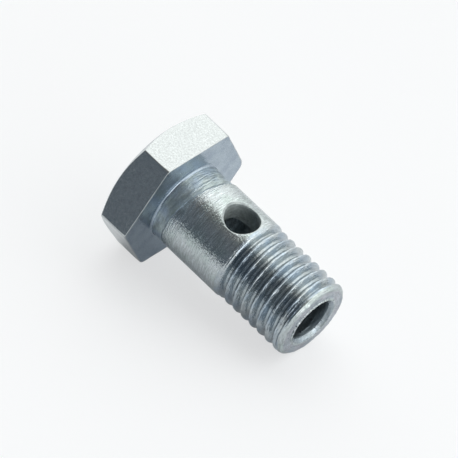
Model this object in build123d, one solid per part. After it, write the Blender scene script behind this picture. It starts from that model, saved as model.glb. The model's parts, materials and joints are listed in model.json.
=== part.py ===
"""Banjo bolt, M12 x 1.5 with a 19 mm hexagon head: one turned and drilled piece of zinc-plated steel.

The bolt is built standing on its head, its axis along Z, the bearing face at height 0 and the tip up.
One flat of the hexagon faces +X, and the cross hole runs square to that flat. It is then laid down as
it comes to rest on a level surface: on the inner edge of the opposite flat and on the last thread
crests, with the drilled flat up and the tip towards +X. The origin is on the surface, under the middle
of the lying bolt.
"""

from build123d import *
from math import atan2, cos, radians, sin, tan
import os

# Head. Heights below the bearing face are negative.
across_flats = 19.0
head_height = 5.5
head_face_radius = 9.2      # flat circle that the chamfer leaves on the head's outer face
head_chamfer_angle = 30.0   # from the plane of that face
corner_radius = 0.35        # upright edges of the hexagon

# Neck and shank, as heights above the bearing face
fillet_radius = 0.9
neck_diameter = 11.8
neck_end = 3.4
shank_diameter = 12.0
shank_end = 12.3
tip_height = 24.5

# Thread
pitch = 1.5
crest_diameter = 11.76
root_diameter = 10.16
crest_width = pitch / 8
flank_angle = 30.0
run_out = 0.8               # length over which the grooves grow to their full depth
crest_angle = -54.5         # where a crest lies at the height below, from the drilled flat
crest_height = 11.9

# Tip
collar_diameter = 11.5      # plain end left beyond the thread
collar_length = 0.5
collar_chamfer = 0.3

# Oil ways
bore_diameter = 6.4
mouth_diameter = 7.4
bore_floor = 6.8            # end of the bore's straight wall; the drill's point goes on below it
drill_point_angle = 118.0
cross_hole_diameter = 5.0
cross_hole_height = 9.4

seam_angle = 50.0           # the turned faces close along this line, clear of the cross hole
bury = 0.1                  # how far joined shapes reach into each other
clearance = 1.0             # how far cutting shapes reach past what they cut
quarter_circle = 0.5523     # handle length of a Bezier curve that follows a quarter circle, in radii

node_name = "banjo_bolt"


def hexagon_head():
    """The hexagon with its corners rounded and its outer face chamfered all round."""
    outline = RegularPolygon(across_flats / 2, 6, major_radius=False, rotation=30)
    outline = fillet(outline.vertices(), corner_radius)
    prism = extrude(outline, -head_height)
    chamfer_rise = head_height + clearance
    chamfer_run = chamfer_rise / tan(radians(head_chamfer_angle))
    cone = Cone(head_face_radius, head_face_radius + chamfer_run, chamfer_rise)
    return prism & Pos(0, 0, chamfer_rise / 2 - head_height) * cone


def turned(points):
    """A solid of revolution about Z from (radius, height) points, closed along the axis."""
    profile = make_face(Polyline(*points, close=True))
    solid = revolve(Plane.XZ * profile, Axis.Z)
    return Rot(0, 0, seam_angle) * solid


def shank():
    """Neck with its under-head fillet, plain shank and thread core."""
    neck, body, root = neck_diameter / 2, shank_diameter / 2, root_diameter / 2
    foot = neck + fillet_radius
    step = body - neck
    outline = Polyline(
        (neck, fillet_radius),
        (neck, neck_end - step),
        (body, neck_end),
        (body, shank_end),
        (root, shank_end + run_out),
        (root, tip_height - bury),
        (0, tip_height - bury),
        (0, -clearance),
        (foot, -clearance),
        (foot, 0),
    )
    pull = quarter_circle * fillet_radius
    outline += Bezier((foot, 0), (foot - pull, 0), (neck, fillet_radius - pull), (neck, fillet_radius))
    solid = revolve(Plane.XZ * make_face(outline), Axis.Z)
    return Rot(0, 0, seam_angle) * solid


def thread_ridge():
    """The thread's one long ridge, wound from inside the shank to the collar."""
    inner = root_diameter / 2 - bury
    depth = crest_diameter / 2 - inner
    half_crest = crest_width / 2
    half_foot = half_crest + depth * tan(radians(flank_angle))
    helix = Helix(pitch, tip_height - crest_height + bury, inner)
    section = Polygon(
        (0, -half_foot), (depth, -half_crest), (depth, half_crest), (0, half_foot), align=None
    )
    at_start = Plane(origin=(inner, 0, 0), x_dir=(1, 0, 0), z_dir=(0, -1, 0))
    ridge = sweep(at_start * section, helix, is_frenet=True)
    ridge = Pos(0, 0, crest_height) * Rot(0, 0, crest_angle) * ridge
    return ridge & thread_room(inner - bury)


def thread_room(inner):
    """The room that the ridge may fill: it dies out on a cone through the collar's lower edge."""
    crest, collar = crest_diameter / 2 + clearance, collar_diameter / 2
    collar_start, top = tip_height - collar_length, tip_height - bury
    fall = (top - collar_start) / (collar - inner)
    return turned(
        [
            (0, neck_end),
            (crest, neck_end),
            (crest, collar_start - fall * (crest - collar)),
            (inner, top),
            (0, top),
        ]
    )


def collar():
    """The plain end beyond the thread, with its edge broken."""
    inner, outer = bore_diameter / 2 - clearance, collar_diameter / 2
    collar_start = tip_height - collar_length
    rise = (outer - inner) * tan(radians(flank_angle))
    return turned(
        [
            (inner, collar_start - rise),
            (outer, collar_start),
            (outer, tip_height - collar_chamfer),
            (outer - collar_chamfer, tip_height),
            (inner, tip_height),
        ]
    )


def axial_bore():
    """The blind bore from the tip, with its drill point and its countersunk mouth."""
    bore, mouth = bore_diameter / 2, mouth_diameter / 2
    point_depth = bore / tan(radians(drill_point_angle / 2))
    return turned(
        [
            (0, bore_floor - point_depth),
            (bore, bore_floor),
            (bore, tip_height - (mouth - bore)),
            (mouth, tip_height),
            (mouth, tip_height + clearance),
            (0, tip_height + clearance),
        ]
    )


def cross_hole():
    """The oil way drilled through both walls, square to the upper flat."""
    drill = Cylinder(cross_hole_diameter / 2, shank_diameter + 2 * clearance)
    return Pos(0, 0, cross_hole_height) * Rot(0, 90, 0) * drill


def standing_bolt():
    """The whole bolt, standing on its head."""
    return hexagon_head() + shank() + thread_ridge() + collar() - axial_bore() - cross_hole()


def resting_plane():
    """Where the standing bolt's own frame goes when the bolt lies down."""
    last_crest_height = tip_height - collar_length - pitch / 2
    drop = across_flats / 2 - crest_diameter / 2
    tilt = atan2(drop, last_crest_height)
    return Plane(origin=(0, 0, 0), x_dir=(sin(tilt), 0, cos(tilt)), z_dir=(cos(tilt), 0, -sin(tilt)))


def lying_bolt():
    """The bolt at rest, its lowest points at height 0 and its box centred on the origin."""
    bolt = standing_bolt().moved(resting_plane().location)
    box = bolt.bounding_box()
    return bolt.moved(Location((-box.center().X, -box.center().Y, -box.min.Z)))


def main():
    os.makedirs("parts", exist_ok=True)
    bolt = lying_bolt()
    bolt.label = node_name
    export_step(bolt, f"parts/{node_name}.step")


if __name__ == "__main__":
    main()
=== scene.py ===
"""The banjo bolt dressed for its picture: one detailed mesh over the CAD solid, a pale studio, a camera.

The bolt is built standing on its head in millimetres, its bearing face at height 0, its tip up and its
drilled flat facing +X, as in the part's own source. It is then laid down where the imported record's
mounts say. Angles round the axis count from the drilled flat.
"""

import json
from math import atan2, cos, pi, radians, sin, sqrt, tan

import bmesh
import bpy
import numpy as np
from mathutils import Matrix, Vector


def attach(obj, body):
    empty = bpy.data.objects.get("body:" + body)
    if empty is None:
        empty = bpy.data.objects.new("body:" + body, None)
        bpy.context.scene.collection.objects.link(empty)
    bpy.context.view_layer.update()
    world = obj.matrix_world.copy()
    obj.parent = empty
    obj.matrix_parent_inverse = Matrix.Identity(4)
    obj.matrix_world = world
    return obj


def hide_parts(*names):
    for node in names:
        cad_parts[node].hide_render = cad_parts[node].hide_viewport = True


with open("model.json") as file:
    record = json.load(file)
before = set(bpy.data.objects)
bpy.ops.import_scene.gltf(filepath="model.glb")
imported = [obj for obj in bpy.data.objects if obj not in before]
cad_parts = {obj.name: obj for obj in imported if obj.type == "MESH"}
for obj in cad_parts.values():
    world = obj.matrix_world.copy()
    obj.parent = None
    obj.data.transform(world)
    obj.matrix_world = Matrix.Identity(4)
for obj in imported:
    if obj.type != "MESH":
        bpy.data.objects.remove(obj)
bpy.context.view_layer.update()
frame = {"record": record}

MM = 0.001
MICRON = 1e-6

# Sizes are in millimetres, and heights are above the bearing face.

# Head
ACROSS_FLATS = 19.0
HEAD_HEIGHT = 5.5
HEAD_FACE_RADIUS = 9.2
HEAD_CHAMFER = tan(radians(30))     # slope of the chamfer round the outer face
CORNER_RADIUS = 0.36
EDGE_BREAK = 0.13                   # rounding of the bearing face's edge
EDGE_WEAR = 0.5                     # how unevenly it is rounded, as a share
EDGE_SEED = 5
EDGE_TURNS = (0, 30, 60, 90)        # degrees round the edge's rounding, a ring at each
CHAMFER_BREAK = EDGE_BREAK * 0.7    # rounding where the flats meet the chamfer
FLAT_STEPS = 20
CORNER_STEPS = 8
# Depth under the bearing face, and what is added there to the radius of a corner of softness 1
BEARING_CORNERS = (
    (EDGE_BREAK, 1.75), (0.34, 1.40), (0.60, 0.95), (0.95, 0.55), (1.40, 0.23), (1.90, 0.07), (2.50, 0.0),
)
CORNER_SOFTNESS = (0.35, 0.10, 0.55, 0.50, 1.00, 0.15)  # of the corners at 30, 90, 150, ... degrees
# Rings over the flats' chamfered edge: inwards and lift, in parts of its rounding
CHAMFER_RINGS = ((0.0, 1.0), (0.25, 0.2), (1.0, 0.0))
# Rings round and inside the outer face's edge: reach past its radius, lift
FACE_RINGS = ((0.06, 0.0), (0.0, 0.006), (-0.06, 0.0), (-0.2, 0.0), (-3.0, 0.0))

# Neck, turned a little off centre, and its slanting shoulder
SHANK_RADIUS = 6.0
FILLET_RADIUS = 0.32
FILLET_TURNS = (0, 22.5, 45, 67.5, 90)  # degrees round the fillet, a ring at each
NECK_DROP = 0.13                    # mean depth of the neck under the shank's round
NECK_OFFSET = 0.06
NECK_OFFSET_ANGLE = radians(-55)    # where the neck lies deepest
NECK_WAIST = 0.16                   # extra depth half way along, as a share
NECK_ROWS = (0.25, 0.5, 0.75)       # shares of the way from the fillet to the shoulder
SHOULDER_HEIGHT = 3.05
SHOULDER_SLANT = 0.95
SHOULDER_ANGLE = radians(-70)       # where the shoulder is highest
# Rows over the shoulder: height from its top edge, share of the neck's depth
SHOULDER_ROWS = (
    (-0.9, 1.05), (-0.45, 0.98), (-0.25, 0.90), (-0.14, 0.72), (-0.06, 0.36), (0.0, 0.08), (0.06, 0.0),
)
SHANK_ROWS = (4.6, 5.5, 6.5, 7.5, 8.5, 9.5, 10.5, 11.5)

# Thread
THREAD_START = 12.3
PITCH = 1.5
CREST_RADIUS = 5.865
ROOT_RADIUS = 5.08
CREST_ANGLE = radians(-54.5)        # where a crest lies at the height below
CREST_HEIGHT = 11.9
RUN_OUT = 0.8                       # length over which the grooves grow, and die out at the collar
RUN_OUT_LEAD = 0.1                  # how far before the thread's start they begin to
CREST_STEP = 0.3                    # length over which the crests drop below the shank's round
CREST_STEP_LEAD = 0.2               # how far before the thread's start the drop begins
THREAD_LEAD = 0.3                   # how far the threaded skin starts before the thread
THREAD_TAIL = 0.05                  # how far it goes on over the collar
CREST_WANDER = 0.06                 # how far the rolled crest's edges stray along the axis
CREST_DENT = 0.035
CREST_WEAR_REACH = 0.5              # share of the groove's depth that the wear reaches down to
UPPER_EDGE_SEED, LOWER_EDGE_SEED, DENT_SEED = 3, 8, 21
WEAR_BLUR = (0.15, 0.35, 0.5, 0.35, 0.15)
WEAR_SCALE = 0.6
# Rows in one pitch: phase, and the share of the full groove depth there
THREAD_ROWS = (
    (0.0, 0.0), (0.045, 0.0), (0.070, 0.045), (0.100, 0.155), (0.170, 0.366), (0.245, 0.592),
    (0.320, 0.818), (0.365, 0.925), (0.405, 0.982), (0.450, 1.0), (0.5, 1.0), (0.550, 1.0),
    (0.595, 0.982), (0.635, 0.925), (0.680, 0.818), (0.755, 0.592), (0.830, 0.366), (0.900, 0.155),
    (0.930, 0.045), (0.955, 0.0),
)

# Tip
TIP = 24.5
COLLAR_RADIUS = 5.75
COLLAR_START = 23.8
END_CHAMFER = 0.51
BURR_HEIGHT = 0.12                  # of the burr round the bore's mouth, over the end face
FACE_MIDDLE_RADIUS = 4.5

# Bore
BORE_RADIUS = 3.2
MOUTH_RADIUS = 3.7
BORE_FLOOR = 6.8
BORE_ROWS = (23.0, 21.5, 20.0, 18.0, 16.0, 14.0, 12.5, 11.0, 9.5, 8.0)
DRILL_POINT_SLOPE = 1 / tan(radians(118 / 2))
DRILL_POINT_ROWS = (2.4, 1.6, 0.8, 0.3)     # radii

# Cross hole
HOLE_RADIUS = 2.4
HOLE_HEIGHT = 9.4
HOLE_STEPS = 96
HOLE_DRILL_END = 9.0                # half the cutting tool's length
HOLE_EDGE_BREAK = 0.16
HOLE_EDGE_SKEW = 1.8                # how much wider the broken edge is on the side of the head
HOLE_EDGE_TURN = pi + 0.4           # where round the hole it is widest, from the side of the tip
# The cutting tool's flare: reach outwards in edge breaks, height over the shank's round
HOLE_FLARE = (
    (0.0, -1.6), (0.0, -HOLE_EDGE_BREAK), (0.35, -0.30 * HOLE_EDGE_BREAK), (1.0, 0.0), (3.2, 0.5),
)
HOLE_RIM_DEPTH = 1.0                # the flare's rows above this depth are part of the broken edge

COLUMNS = 240                       # steps round the axis
MERGE_DISTANCE = 1e-5
LEVEL_TOLERANCE = 1e-6
SHARP_ANGLE = radians(38)

# Material slots of the bolt's mesh
FLATS, TURNED, THREAD, BORE, BEARING, NECK, END, HEAD_FACE, HOLE, MOUTH = range(10)


# ---------------------------------------------------------------- mesh building

class Shell:
    """Points and faces of a closed skin, built ring by ring."""

    def __init__(self):
        self.points = []
        self.faces = []
        self.slots = []

    def ring(self, points):
        first = len(self.points)
        self.points.extend(points)
        return list(range(first, len(self.points)))

    def face(self, corners, slot):
        kept = list(dict.fromkeys(corners))
        if len(kept) > 2:
            self.faces.append(kept)
            self.slots.append(slot)

    def band(self, low, high, slot):
        """Quads between two rings of the same count."""
        for j in range(len(low)):
            k = (j + 1) % len(low)
            self.face((low[j], low[k], high[k], high[j]), slot)

    def bands(self, rings, slot):
        for low, high in zip(rings, rings[1:]):
            self.band(low, high, slot)

    def zip_rings(self, a, b, slot):
        """Triangles between two rings of different counts that both run round the axis."""
        turn_a, turn_b = self.turns(a), self.turns(b)
        i = j = 0
        while i < len(a) or j < len(b):
            step_a = i < len(a) and (j == len(b) or turn_a[i + 1] <= turn_b[j + 1])
            here = (a[i % len(a)], b[j % len(b)])
            if step_a:
                i += 1
                self.face((*here, a[i % len(a)]), slot)
            else:
                j += 1
                self.face((*here, b[j % len(b)]), slot)

    def turns(self, ring):
        """Angles of a ring's points round the axis, ever growing, the first repeated at the end."""
        angles = [atan2(self.points[i][1], self.points[i][0]) for i in ring]
        return list(np.unwrap(angles + [angles[0] + 2 * pi]))

    def fan(self, ring, tip, slot):
        middle = self.ring([tip])[0]
        for j in range(len(ring)):
            self.face((ring[j], ring[(j + 1) % len(ring)], middle), slot)

    def to_object(self, name):
        mesh = bpy.data.meshes.new(name)
        mesh.from_pydata([tuple(p) for p in self.points], [], self.faces)
        mesh.polygons.foreach_set("material_index", self.slots)
        mesh.validate()
        tidy = bmesh.new()
        tidy.from_mesh(mesh)
        bmesh.ops.remove_doubles(tidy, verts=tidy.verts, dist=MERGE_DISTANCE)
        bmesh.ops.recalc_face_normals(tidy, faces=tidy.faces)
        tidy.to_mesh(mesh)
        tidy.free()
        piece = bpy.data.objects.new(name, mesh)
        bpy.context.scene.collection.objects.link(piece)
        return piece


def around(angle, radius, height):
    return (radius * cos(angle), radius * sin(angle), height)


def column_angles():
    return [2 * pi * j / COLUMNS for j in range(COLUMNS)]


def turned_ring(shell, radius, height):
    return shell.ring([around(a, radius, height) for a in column_angles()])


def worn_ring(shell, radius, height, wear):
    """A ring whose radius strays by about the wear, as a plated edge's does."""
    raw = np.random.default_rng(int(radius * 100)).standard_normal(COLUMNS)
    stray = (np.roll(raw, 1) + 2 * raw + np.roll(raw, -1)) / 4 * wear
    return shell.ring([around(a, r, height) for a, r in zip(column_angles(), radius + stray)])


def worn_line(seed, count):
    """Smoothed random steps, about 1 at the most."""
    margin = len(WEAR_BLUR) - 1
    raw = np.random.default_rng(seed).standard_normal(count + 2 * margin)
    return np.convolve(raw, WEAR_BLUR, "same")[margin:-margin] * WEAR_SCALE


def smooth(x):
    x = min(max(x, 0.0), 1.0)
    return x * x * (3 - 2 * x)


# ---------------------------------------------------------------- head

def hexagon_outline(rounding=0.0):
    """The head's outline, its corners rounded further by their own share of the rounding."""
    apothem = ACROSS_FLATS / 2
    radii = [CORNER_RADIUS + rounding * share for share in CORNER_SOFTNESS]
    points = []
    for side, radius in enumerate(radii):
        turn = side * pi / 3
        start = -(apothem - radii[side - 1]) * tan(pi / 6)
        end = (apothem - radius) * tan(pi / 6)
        for k in range(FLAT_STEPS):
            y = start + (end - start) * k / FLAT_STEPS
            points.append((apothem * cos(turn) - y * sin(turn), apothem * sin(turn) + y * cos(turn)))
        centre_reach = (apothem - radius) / cos(pi / 6)
        corner = turn + pi / 6
        cx, cy = centre_reach * cos(corner), centre_reach * sin(corner)
        for k in range(CORNER_STEPS):
            a = turn + k / CORNER_STEPS * pi / 3
            points.append((cx + radius * cos(a), cy + radius * sin(a)))
    return points


def bearing_rings(shell):
    """Rings over the bearing face's worn edge and down the softer part of the corners."""
    rings = []
    edge = hexagon_outline(BEARING_CORNERS[0][1])
    wear = 1 + EDGE_WEAR * worn_line(EDGE_SEED, len(edge))
    for turn in EDGE_TURNS:
        inset = EDGE_BREAK * (1 - sin(radians(turn))) * wear
        drop = EDGE_BREAK * (1 - cos(radians(turn))) * wear
        shrink = 1 - inset / (ACROSS_FLATS / 2)
        rings.append(shell.ring([(x * k, y * k, -d) for (x, y), k, d in zip(edge, shrink, drop)]))
    for drop, rounding in BEARING_CORNERS[1:]:
        rings.append(shell.ring([(x, y, -drop) for x, y in hexagon_outline(rounding)]))
    return rings


def chamfer_ring(shell, outline, inwards, lift):
    """The outline carried inwards along the chamfer's cone."""
    points = []
    for x, y in outline:
        reach = sqrt(x * x + y * y)
        height = (reach - inwards - HEAD_FACE_RADIUS) * HEAD_CHAMFER - HEAD_HEIGHT
        shrink = 1 - inwards / reach
        points.append((x * shrink, y * shrink, height + lift))
    return shell.ring(points)


def face_ring(shell, outline, past_edge, lift):
    """A circle round the outer face, with the outline's points on it."""
    reach = HEAD_FACE_RADIUS + past_edge
    height = max(past_edge, 0) * HEAD_CHAMFER - HEAD_HEIGHT + lift
    points = []
    for x, y in outline:
        scale = reach / sqrt(x * x + y * y)
        points.append((x * scale, y * scale, height))
    return shell.ring(points)


def head_rings(shell):
    """Rings from the bearing face's edge, down the flats and over the chamfer to the outer face."""
    outline = hexagon_outline()
    rings = bearing_rings(shell)
    for inwards, lift in CHAMFER_RINGS:
        rings.append(chamfer_ring(shell, outline, CHAMFER_BREAK * inwards, CHAMFER_BREAK * lift))
    return rings + [face_ring(shell, outline, *place) for place in FACE_RINGS]


# ---------------------------------------------------------------- neck and shank

def neck_drop(angle):
    return NECK_DROP + NECK_OFFSET * cos(angle - NECK_OFFSET_ANGLE)


def shoulder_height(angle):
    return SHOULDER_HEIGHT + SHOULDER_SLANT * cos(angle - SHOULDER_ANGLE)


def fillet_rings(shell):
    """The small fillet between the bearing face and the neck."""
    rings = []
    for turn in FILLET_TURNS:
        out = FILLET_RADIUS * (1 - sin(radians(turn)))
        height = FILLET_RADIUS * (1 - cos(radians(turn)))
        rings.append(shell.ring([
            around(a, SHANK_RADIUS - neck_drop(a) + out, height) for a in column_angles()
        ]))
    return rings


def neck_rings(shell):
    """Rings from the fillet to the end of the shoulder."""
    rings = []
    for share in NECK_ROWS:
        points = []
        for a in column_angles():
            low, high = FILLET_RADIUS, shoulder_height(a) + SHOULDER_ROWS[0][0]
            radius = SHANK_RADIUS - neck_drop(a) * (1 + NECK_WAIST * share * (1 - share))
            points.append(around(a, radius, low + (high - low) * share))
        rings.append(shell.ring(points))
    for rise, depth in SHOULDER_ROWS:
        rings.append(shell.ring([
            around(a, SHANK_RADIUS - neck_drop(a) * depth, shoulder_height(a) + rise)
            for a in column_angles()
        ]))
    return rings


# ---------------------------------------------------------------- thread

def thread_radius(share, height):
    """Radius of the threaded surface: grooves grow at the shank's end and die out at the collar."""
    grown = smooth((height - THREAD_START + RUN_OUT_LEAD) / RUN_OUT)
    left = smooth((COLLAR_START - height) / RUN_OUT)
    dropped = smooth((height - THREAD_START + CREST_STEP_LEAD) / CREST_STEP)
    crest = SHANK_RADIUS + (CREST_RADIUS - SHANK_RADIUS) * dropped
    crest_end = COLLAR_RADIUS + (COLLAR_START - height)
    crest = max(min(crest, crest_end), COLLAR_RADIUS)
    return crest - (crest - ROOT_RADIUS) * share * grown * left


def helix_grid(shell, low, high):
    """The thread's rows, turn by turn, each clipped between two levels."""
    first_turn = int((low - CREST_HEIGHT) // PITCH) - 2
    turns = int((high - low) / PITCH) + 4
    upper = worn_line(UPPER_EDGE_SEED, turns * COLUMNS)
    lower = worn_line(LOWER_EDGE_SEED, turns * COLUMNS)
    dents = worn_line(DENT_SEED, turns * COLUMNS)
    grid = []
    for t in range(turns):
        for phase, share in THREAD_ROWS:
            on_crest = smooth(1 - share / CREST_WEAR_REACH)
            edge = upper if phase < 0.5 else lower
            points = []
            for j, a in enumerate(column_angles()):
                along = t * COLUMNS + j
                turned = (a - CREST_ANGLE) / (2 * pi)
                height = CREST_HEIGHT + PITCH * (first_turn + t + phase + turned)
                height += CREST_WANDER * on_crest * edge[along]
                height = min(max(height, low), high)
                radius = thread_radius(share, height)
                if low < height < high:
                    radius -= CREST_DENT * on_crest * max(dents[along], 0.0)
                points.append(around(a, radius, height))
            grid.append(shell.ring(points))
    return grid


def join_turns(shell, grid, low, high):
    """Faces between the rows; the last column joins the first one of the next turn."""
    per_turn = len(THREAD_ROWS)
    for k in range(len(grid) - 1):
        for j in range(COLUMNS):
            if j < COLUMNS - 1:
                right, right_up = grid[k][j + 1], grid[k + 1][j + 1]
            elif k + 1 + per_turn < len(grid):
                right, right_up = grid[k + per_turn][0], grid[k + 1 + per_turn][0]
            else:
                right, right_up = grid[-1][0], grid[-1][0]
            corners = (grid[k][j], right, right_up, grid[k + 1][j])
            heights = [shell.points[i][2] for i in corners]
            level = max(heights) - min(heights) <= LEVEL_TOLERANCE
            if not level and min(heights) < high and max(heights) > low:
                shell.face(corners, THREAD)


def thread_rings(shell):
    """The helical thread, with the level rings that close its ends."""
    low, high = THREAD_START - THREAD_LEAD, COLLAR_START + THREAD_TAIL
    join_turns(shell, helix_grid(shell, low, high), low, high)
    return turned_ring(shell, thread_radius(0, low), low), turned_ring(shell, thread_radius(0, high), high)


# ---------------------------------------------------------------- tip and bore

def tip_profiles():
    """(radius, height, wear) over the end's chamfer, then over its face to the burr at the mouth."""
    face = TIP - BURR_HEIGHT
    outer = COLLAR_RADIUS - END_CHAMFER
    chamfer = [
        (COLLAR_RADIUS, face - END_CHAMFER + 0.06, 0.0),
        (COLLAR_RADIUS - 0.03, face - END_CHAMFER + 0.12, 0.02),
        (outer + 0.08, face - 0.05, 0.06),
        (outer - 0.02, face, 0.08),
    ]
    flat = [
        (outer - 0.12, face, 0.04),
        (FACE_MIDDLE_RADIUS, face, 0.0),
        (MOUTH_RADIUS + 0.30, face, 0.04),
    ]
    burr = [
        (MOUTH_RADIUS + 0.22, face + 0.01, 0.08),
        (MOUTH_RADIUS + 0.12, TIP - 0.01, 0.08),
        (MOUTH_RADIUS + 0.04, TIP, 0.06),
        (MOUTH_RADIUS - 0.02, TIP - 0.03, 0.06),
    ]
    return chamfer, flat, burr


def bore_profile():
    """(radius, height) from the mouth's chamfer down to the drill's point, all but its tip."""
    mouth_depth = MOUTH_RADIUS - BORE_RADIUS
    profile = [(BORE_RADIUS + 0.04, TIP - mouth_depth + 0.02), (BORE_RADIUS, TIP - mouth_depth - 0.04)]
    profile += [(BORE_RADIUS, height) for height in BORE_ROWS]
    profile += [(BORE_RADIUS, BORE_FLOOR + 0.05), (BORE_RADIUS - 0.05, BORE_FLOOR - 0.02)]
    profile += [(r, BORE_FLOOR - (BORE_RADIUS - r) * DRILL_POINT_SLOPE) for r in DRILL_POINT_ROWS]
    return profile


def bolt_skin():
    shell = Shell()
    head = head_rings(shell)
    shell.bands(head[:-2], FLATS)
    shell.bands(head[-3:], HEAD_FACE)
    shell.fan(head[-1], (0, 0, -HEAD_HEIGHT), HEAD_FACE)
    fillet = fillet_rings(shell)
    shell.zip_rings(head[0], fillet[0], BEARING)
    shell.bands(fillet, BEARING)
    neck = [fillet[-1]] + neck_rings(shell)
    shell.bands(neck[:-3], NECK)
    shank = neck[-4:] + [turned_ring(shell, SHANK_RADIUS, height) for height in SHANK_ROWS]
    lowest, highest = thread_rings(shell)
    shell.bands(shank + [lowest], TURNED)
    chamfer, flat, burr = ([worn_ring(shell, *point) for point in part] for part in tip_profiles())
    shell.bands([highest] + chamfer, TURNED)
    shell.bands([chamfer[-1]] + flat, END)
    shell.bands([flat[-1]] + burr, TURNED)
    bore = [burr[-1]] + [turned_ring(shell, *point) for point in bore_profile()]
    shell.bands(bore[:3], MOUTH)
    shell.bands(bore[2:], BORE)
    shell.fan(bore[-1], (0, 0, BORE_FLOOR - BORE_RADIUS * DRILL_POINT_SLOPE), BORE)
    return shell.to_object("banjo_bolt_skin")


# ---------------------------------------------------------------- cross hole

def flare_ring(shell, side, out, level):
    """A ring of the cutting tool that follows the shank's round; the edge is wider beside the head."""
    points = []
    for k in range(HOLE_STEPS):
        a = 2 * pi * k / HOLE_STEPS
        widened = 1 + HOLE_EDGE_SKEW * max(cos(a - HOLE_EDGE_TURN), 0.0)
        radius = HOLE_RADIUS + out * HOLE_EDGE_BREAK * widened
        depth = level * widened if -HOLE_RIM_DEPTH < level < 0 else level
        y, z = radius * sin(a), radius * cos(a)
        surface = sqrt(max(SHANK_RADIUS ** 2 - y * y, 0))
        points.append((side * (surface + depth), y, HOLE_HEIGHT + z))
    return shell.ring(points)


def hole_cutter():
    """The cross drill, flared at both ends where the hole's rim is broken."""
    shell = Shell()
    rings = [flare_ring(shell, -1, *place) for place in reversed(HOLE_FLARE)]
    rings += [flare_ring(shell, 1, *place) for place in HOLE_FLARE]
    shell.bands(rings, HOLE)
    shell.fan(rings[0], (-HOLE_DRILL_END, 0, HOLE_HEIGHT), HOLE)
    shell.fan(rings[-1], (HOLE_DRILL_END, 0, HOLE_HEIGHT), HOLE)
    return shell.to_object("cross_drill")


def drill_cross_hole(bolt):
    cutter = hole_cutter()
    for material in bolt.data.materials:
        cutter.data.materials.append(material)
    cut = bolt.modifiers.new("cross hole", "BOOLEAN")
    cut.operation = "DIFFERENCE"
    cut.solver = "EXACT"
    cut.object = cutter
    graph = bpy.context.evaluated_depsgraph_get()
    mesh = bpy.data.meshes.new_from_object(bolt.evaluated_get(graph))
    bolt.modifiers.clear()
    bolt.data = mesh
    bpy.data.objects.remove(cutter)


# ---------------------------------------------------------------- place and shading

def bolt_place():
    """Where the standing bolt's own frame lies in the model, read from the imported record's mounts."""
    mounts = {m["name"]: m for m in frame["record"]["mounts"]}
    along = Vector(mounts["axial_bore"]["axis"]).normalized()
    up = Vector(mounts["cross_bore"]["axis"]).normalized()
    across = along.cross(up)
    origin = Vector(mounts["cross_bore"]["pos_m"]) - along * HOLE_HEIGHT * MM
    turn = Matrix((up, across, along)).transposed().to_4x4()
    return Matrix.Translation(origin) @ turn @ Matrix.Scale(MM, 4)


def keep_standing_places(piece):
    """Every point keeps its place on the standing bolt, in millimetres, for the materials to follow."""
    mesh = piece.data
    places = np.empty(len(mesh.vertices) * 3)
    mesh.vertices.foreach_get("co", places)
    standing = mesh.attributes.new("standing", "FLOAT_VECTOR", "POINT")
    standing.data.foreach_set("vector", places)


def finish_shading(piece):
    for polygon in piece.data.polygons:
        polygon.use_smooth = True
    edges = bmesh.new()
    edges.from_mesh(piece.data)
    for edge in edges.edges:
        if len(edge.link_faces) == 2 and edge.calc_face_angle(0.0) > SHARP_ANGLE:
            edge.smooth = False
    edges.to_mesh(piece.data)
    edges.free()
    weighted = piece.modifiers.new("face normals", "WEIGHTED_NORMAL")
    weighted.keep_sharp = True


# ---------------------------------------------------------------- shader nodes

NOISE_LOW, NOISE_HIGH = 0.3, 0.7    # between these lies most of a noise


def add(tree, kind, inputs=None, **settings):
    """A node with its settings, and its inputs as values or as sockets to link."""
    node = tree.nodes.new(kind)
    for name, value in settings.items():
        setattr(node, name, value)
    for name, value in (inputs or {}).items():
        if isinstance(value, bpy.types.NodeSocket):
            tree.links.new(value, node.inputs[name])
        else:
            node.inputs[name].default_value = value
    return node


def maths(tree, operation, *values):
    node = add(tree, "ShaderNodeMath", dict(enumerate(values)), operation=operation)
    return node.outputs["Value"]


def new_material(name):
    material = bpy.data.materials.new(name)
    material.use_nodes = True
    tree = material.node_tree
    return material, tree, tree.nodes["Principled BSDF"]


def standing_place(tree):
    return add(tree, "ShaderNodeAttribute", attribute_name="standing").outputs["Vector"]


def reach_from_axis(tree, place):
    level = add(tree, "ShaderNodeVectorMath", {0: place, 1: (1, 1, 0)}, operation="MULTIPLY")
    length = add(tree, "ShaderNodeVectorMath", {0: level.outputs[0]}, operation="LENGTH")
    return length.outputs["Value"]


def tool_marks(tree, place, per_mm):
    """Noise drawn out round the axis: lines at one height on a cylinder, at one radius on a face."""
    stretch = (MARKS_ALONG_PER_MM, MARKS_ALONG_PER_MM, per_mm)
    slow = add(tree, "ShaderNodeVectorMath", {0: place, 1: stretch}, operation="MULTIPLY")
    reach = maths(tree, "MULTIPLY", reach_from_axis(tree, place), per_mm)
    inputs = {"Vector": slow.outputs[0], "W": reach, "Scale": 1.0, "Detail": MARKS_DETAIL}
    return add(tree, "ShaderNodeTexNoise", inputs, noise_dimensions="4D").outputs["Fac"]


def grain(tree, place, per_mm, detail, roughness=0.5):
    noise = add(tree, "ShaderNodeTexNoise",
                {"Vector": place, "Scale": per_mm, "Detail": detail, "Roughness": roughness})
    return noise.outputs["Fac"]


def ranged(tree, value, low, high, from_low=NOISE_LOW, from_high=NOISE_HIGH):
    node = add(tree, "ShaderNodeMapRange", {"Value": value, "From Min": from_low, "From Max": from_high,
                                            "To Min": low, "To Max": high})
    return node.outputs["Result"]


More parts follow.
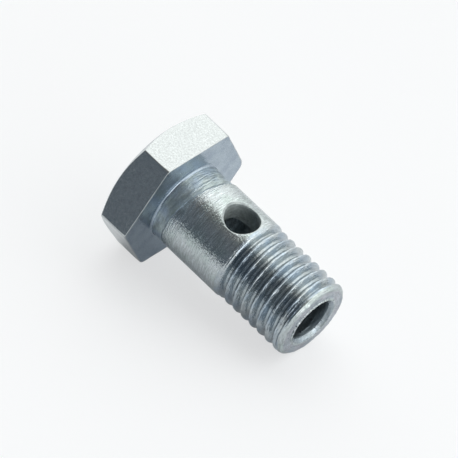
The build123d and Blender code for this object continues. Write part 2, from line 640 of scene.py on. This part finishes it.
def specks(tree, place):
    """1 on a few small spots, 0 elsewhere."""
    cells = add(tree, "ShaderNodeTexVoronoi", {"Vector": place, "Scale": SPECKS_PER_MM})
    return ranged(tree, cells.outputs["Distance"], 1.0, 0.0, SPECK_SIZE * SPECK_CORE, SPECK_SIZE)


def blended(tree, factor, one, other):
    mix = add(tree, "ShaderNodeMix", {0: factor}, data_type="RGBA")
    for socket, value in ((mix.inputs[6], one), (mix.inputs[7], other)):
        if isinstance(value, bpy.types.NodeSocket):
            tree.links.new(value, socket)
        else:
            socket.default_value = (*value, 1)
    return mix.outputs[2]


def shaded(tree, colour, factor):
    """A colour made lighter or darker by a factor round 1."""
    grey = add(tree, "ShaderNodeCombineXYZ", {0: factor, 1: factor, 2: factor})
    product = add(tree, "ShaderNodeVectorMath", {0: colour, 1: grey.outputs[0]}, operation="MULTIPLY")
    return product.outputs[0]


def bumped(tree, layers):
    """One normal from several (height, microns) layers."""
    normal = None
    for height, microns in layers:
        bump = add(tree, "ShaderNodeBump",
                   {"Height": height, "Strength": 1.0, "Distance": microns * MICRON})
        if normal:
            tree.links.new(normal, bump.inputs["Normal"])
        normal = bump.outputs["Normal"]
    return normal


# ---------------------------------------------------------------- zinc

BRIGHT_ZINC = (0.475, 0.512, 0.525)
FLAT_ZINC = (0.473, 0.498, 0.503)
BLUE_ZINC = (0.375, 0.440, 0.500)
# painted reflection: the bearing face's zinc made darker and bluer for the dim floor it mirrors
SHADED_BEARING_ZINC = (0.300, 0.358, 0.425)
GREEN_ZINC = (0.420, 0.475, 0.470)
LILAC_ZINC = (0.405, 0.412, 0.450)
# dull zinc for the specks and patches, and also the painted shade in the thread's grooves
DULL_AND_SHADE_ZINC = (0.300, 0.335, 0.345)
HOLE_ZINC = (0.360, 0.400, 0.395)
MOUTH_ZINC = (0.310, 0.360, 0.400)
# painted shade: zinc darkened for the shade deep in the bore
BORE_SHADE_ZINC = (0.220, 0.260, 0.285)

MARKS_ALONG_PER_MM = 0.7            # how fast a tool mark changes along its length
MARKS_DETAIL = 1.5
MARKS_RANGE = (0.33, 0.67)          # of the noise, from the darkest mark to the lightest
PATCHES_PER_MM = 0.45
PATCHES_RANGE = (0.38, 0.62)
SPECKS_PER_MM = 1.1
SPECK_SIZE = 0.06
SPECK_CORE = 0.6                    # share of a speck's reach that is fully dull
MOTTLE_PER_MM = 4.5
MOTTLE_CONTRAST = 0.17
COARSE_PEBBLES_PER_MM = 2.4
FINE_PEBBLES_PER_MM = 5.0
COARSE_SHARE, FINE_SHARE = 0.4, 0.6     # of the pebbles' height
SHEEN_PER_MM = 2.2
GROOVE_SHADE_RADII = (5.05, 5.6)          # between these the thread's grooves grow darker with painted shade
GROOVE_SHADE_SHARE = 0.5                  # how dark the painted shade is at the grooves' roots


def zinc_colour(tree, place, main, patch, groove_shade):
    """Two tints in soft patches, painted shade in the thread's grooves, dull specks and a fine mottle."""
    patches = ranged(tree, grain(tree, place, PATCHES_PER_MM, 3.0), 0.0, 1.0, *PATCHES_RANGE)
    colour = blended(tree, patches, main, patch)
    if groove_shade:
        # painted shade: darker towards the roots of the thread's grooves
        groove_shade_mask = ranged(tree, reach_from_axis(tree, place), GROOVE_SHADE_SHARE, 0.0, *GROOVE_SHADE_RADII)
        colour = blended(tree, groove_shade_mask, colour, DULL_AND_SHADE_ZINC)
    colour = blended(tree, specks(tree, place), colour, DULL_AND_SHADE_ZINC)
    mottle = grain(tree, place, MOTTLE_PER_MM, 3.0, 0.7)
    return shaded(tree, colour, ranged(tree, mottle, 1 - MOTTLE_CONTRAST, 1 + MOTTLE_CONTRAST))


def zinc(name, main, patch, roughness, pebble, marks=None, groove_shade=False, metallic=1.0):
    """Zinc plate with a pebbled grain and tool marks.

    pebble is the grain's height in microns. marks gives the tool marks' count per mm, their height in
    microns and how much they lighten and darken the surface.
    """
    material, tree, shader = new_material(name)
    place = standing_place(tree)
    colour = zinc_colour(tree, place, main, patch, groove_shade)
    layers = [
        (grain(tree, place, COARSE_PEBBLES_PER_MM, 1.0), pebble * COARSE_SHARE),
        (grain(tree, place, FINE_PEBBLES_PER_MM, 2.0), pebble * FINE_SHARE),
    ]
    if marks:
        per_mm, microns, contrast = marks
        lines = ranged(tree, tool_marks(tree, place, per_mm), 0.0, 1.0, *MARKS_RANGE)
        colour = shaded(tree, colour, ranged(tree, lines, 1 - contrast, 1 + contrast, 0.0, 1.0))
        layers.append((lines, microns))
    sheen = ranged(tree, grain(tree, place, SHEEN_PER_MM, 4.0, 0.65), *roughness)
    shader.inputs["Metallic"].default_value = metallic
    tree.links.new(colour, shader.inputs["Base Color"])
    tree.links.new(sheen, shader.inputs["Roughness"])
    tree.links.new(bumped(tree, layers), shader.inputs["Normal"])
    return material


def bolt_materials():
    """One material for each slot."""
    finishes = {
        FLATS: zinc("zinc flats", FLAT_ZINC, FLAT_ZINC, (0.14, 0.22), 8.0),
        TURNED: zinc("zinc turned", BRIGHT_ZINC, GREEN_ZINC, (0.15, 0.24), 60.0, (6.0, 28.0, 0.21)),
        # the thread's grooves carry painted shade
        THREAD: zinc("zinc thread", BRIGHT_ZINC, BLUE_ZINC, (0.17, 0.27), 60.0, (4.5, 14.0, 0.14),
                     groove_shade=True),
        # the bore's darker zinc is painted shade
        BORE: zinc("zinc bore", BORE_SHADE_ZINC, BORE_SHADE_ZINC, (0.25, 0.40), 60.0, (3.0, 30.0, 0.25),
                   metallic=0.9),
        # the bearing face's darker, bluer zinc is a painted reflection of the floor
        BEARING: zinc("zinc bearing", SHADED_BEARING_ZINC, BLUE_ZINC, (0.20, 0.28), 10.0, (4.0, 2.0, 0.03)),
        NECK: zinc("zinc neck", GREEN_ZINC, BLUE_ZINC, (0.38, 0.52), 70.0, (4.5, 50.0, 0.22)),
        END: zinc("zinc end", LILAC_ZINC, MOUTH_ZINC, (0.18, 0.28), 90.0, (5.0, 25.0, 0.18)),
        HEAD_FACE: zinc("zinc head face", BRIGHT_ZINC, GREEN_ZINC, (0.20, 0.28), 10.0,
                        (3.0, 1.5, 0.03)),
        HOLE: zinc("zinc hole", HOLE_ZINC, DULL_AND_SHADE_ZINC, (0.26, 0.40), 60.0, (3.0, 20.0, 0.20),
                   metallic=0.4),
        MOUTH: zinc("zinc mouth", MOUTH_ZINC, DULL_AND_SHADE_ZINC, (0.16, 0.26), 80.0, (3.0, 30.0, 0.25)),
    }
    return [finishes[slot] for slot in range(len(finishes))]


# ---------------------------------------------------------------- studio, in metres

FLOOR_REACH = 1.5
FLOOR_COLOUR = (0.87, 0.89, 0.92)
FLOOR_ROUGHNESS = 0.9
FLOOR_GLOW = 0.62                   # share of plain white in the floor where it is seen
FLOOR_GLOW_MIRRORED = 0.12          # and where the metal mirrors it, with the bolt's shadow on it
WORLD_TURN = (0.05, 0.99, 0.10)     # direction in which the surroundings grow brighter
WORLD_STRENGTH = 2.0
WORLD_STOPS = (                     # half-strength colours over -1 to 1 along that direction
    (0.0, (0.080, 0.094, 0.110)), (0.25, (0.085, 0.095, 0.105)), (0.455, (0.105, 0.105, 0.103)),
    (0.645, (0.89, 0.90, 0.88)), (0.88, (0.89, 0.90, 0.88)), (1.0, (0.55, 0.57, 0.56)),
)
LAMP_PLACE = (0.45, -0.12, 0.13)    # beyond the tip, so that its edges and the crests catch the light
LAMP_TARGET = (0.008, 0, 0.01)
LAMP_SIZE = (0.36, 0.22)
LAMP_WATTS = 0.5


def floor_material():
    """A pale floor that keeps the bolt's shadow and shows as near white."""
    material, tree, shader = new_material("floor")
    shader.inputs["Base Color"].default_value = (*FLOOR_COLOUR, 1)
    shader.inputs["Roughness"].default_value = FLOOR_ROUGHNESS
    path = add(tree, "ShaderNodeLightPath").outputs
    seen = maths(tree, "MAXIMUM", path["Is Camera Ray"], path["Is Transmission Ray"])
    seen = maths(tree, "MULTIPLY", seen, FLOOR_GLOW)
    share = maths(tree, "MULTIPLY_ADD", path["Is Glossy Ray"], FLOOR_GLOW_MIRRORED, seen)
    white = add(tree, "ShaderNodeEmission", {"Color": (1, 1, 1, 1), "Strength": 1.0})
    mix = add(tree, "ShaderNodeMixShader", {0: share, 1: shader.outputs[0], 2: white.outputs[0]})
    tree.links.new(mix.outputs[0], tree.nodes["Material Output"].inputs["Surface"])
    return material


def make_floor():
    r = FLOOR_REACH
    mesh = bpy.data.meshes.new("floor")
    mesh.from_pydata([(-r, -r, 0), (r, -r, 0), (r, r, 0), (-r, r, 0)], [], [(0, 1, 2, 3)])
    mesh.materials.append(floor_material())
    floor = bpy.data.objects.new("floor", mesh)
    bpy.context.scene.collection.objects.link(floor)


def make_lamp():
    data = bpy.data.lights.new("right", "AREA")
    data.shape = "RECTANGLE"
    data.size, data.size_y = LAMP_SIZE
    data.energy = LAMP_WATTS
    lamp = bpy.data.objects.new("right", data)
    lamp.location = LAMP_PLACE
    facing = Vector(LAMP_TARGET) - Vector(LAMP_PLACE)
    lamp.rotation_euler = facing.to_track_quat("-Z", "Y").to_euler()
    bpy.context.scene.collection.objects.link(lamp)


def make_world():
    """Bright behind the bolt and dim in front of it, as in a tent open to a dark room."""
    world = bpy.data.worlds.new("studio")
    bpy.context.scene.world = world
    world.use_nodes = True
    tree = world.node_tree
    place = add(tree, "ShaderNodeTexCoord").outputs["Generated"]
    along = add(tree, "ShaderNodeVectorMath", {0: place, 1: WORLD_TURN}, operation="DOT_PRODUCT")
    share = ranged(tree, along.outputs["Value"], 0.0, 1.0, -1.0, 1.0)
    ramp = add(tree, "ShaderNodeValToRGB", {"Fac": share})
    ramp.color_ramp.interpolation = "EASE"
    stops = ramp.color_ramp.elements
    for stop, (_, colour) in zip(stops, (WORLD_STOPS[0], WORLD_STOPS[-1])):
        stop.color = (*colour, 1)
    for at, colour in WORLD_STOPS[1:-1]:
        stops.new(at).color = (*colour, 1)
    background = tree.nodes["Background"]
    background.inputs["Strength"].default_value = WORLD_STRENGTH
    tree.links.new(ramp.outputs["Color"], background.inputs["Color"])


# ---------------------------------------------------------------- camera

CAMERA_AZIMUTH = 39.83              # degrees, from the view along +Y towards the tip's side
CAMERA_ELEVATION = 44.13
CAMERA_ROLL = 7.50
CAMERA_DISTANCE = 0.600
CAMERA_LENS = 363.2
CAMERA_SENSOR = 36
CAMERA_CLIP = (0.01, 10)
AIM = (-0.00147, 0.00060, 0.00955)


def make_camera():
    data = bpy.data.cameras.new("camera")
    data.lens = CAMERA_LENS
    data.sensor_width = CAMERA_SENSOR
    data.clip_start, data.clip_end = CAMERA_CLIP
    camera = bpy.data.objects.new("camera", data)
    bpy.context.scene.collection.objects.link(camera)
    turn, lift = radians(CAMERA_AZIMUTH), radians(CAMERA_ELEVATION)
    back = Vector((sin(turn) * cos(lift), -cos(turn) * cos(lift), sin(lift)))
    level = Vector((cos(turn), sin(turn), 0))
    roll = radians(CAMERA_ROLL)
    upright = back.cross(level)
    right = level * cos(roll) + upright * sin(roll)
    up = back.cross(right)
    place = Matrix((right, up, back)).transposed().to_4x4()
    place.translation = Vector(AIM) + back * CAMERA_DISTANCE
    camera.matrix_world = place
    bpy.context.scene.camera = camera


# ---------------------------------------------------------------- the scene

def make_bolt():
    bolt = bolt_skin()
    for material in bolt_materials():
        bolt.data.materials.append(material)
    drill_cross_hole(bolt)
    keep_standing_places(bolt)
    bolt.data.transform(bolt_place())
    finish_shading(bolt)
    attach(bolt, "root")
    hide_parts("banjo_bolt")


make_camera()
make_bolt()
make_floor()
make_world()
make_lamp()
bpy.context.scene.view_settings.view_transform = "Standard"
